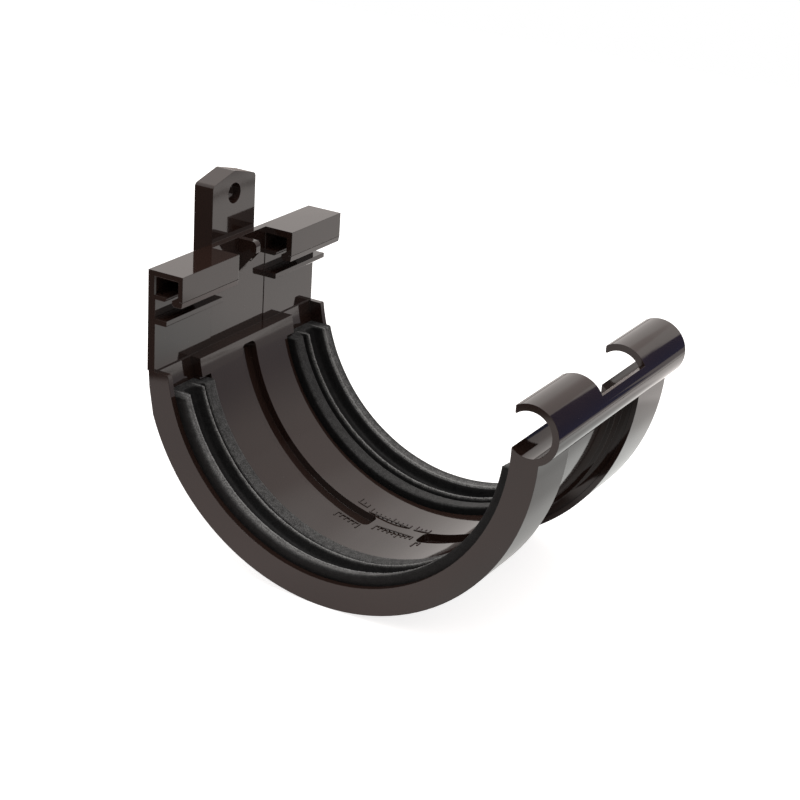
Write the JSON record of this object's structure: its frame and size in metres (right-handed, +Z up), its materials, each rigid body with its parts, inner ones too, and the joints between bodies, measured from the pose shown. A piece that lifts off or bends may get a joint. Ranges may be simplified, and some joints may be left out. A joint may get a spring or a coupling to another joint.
{
  "type": "half-round gutter union",
  "caption": "Half-round gutter union with rubber end seals, clip channels and a stop fin on its back plate, a screw lug above and an open clip roll along the front.",
  "frame": {"origin": "on the axis of the half-round trough, halfway along the union", "axes": "+X along the gutter run, +Y from the wall side to the open front, +Z up"},
  "size_m": [0.088, 0.1473, 0.1143],
  "materials": {
    "body": "gloss",
    "seal": "matt"
  },
  "bodies": {
    "root": {"union_body": "body", "seal_plus_x": "seal", "seal_minus_x": "seal"}
  },
  "joints": []
}
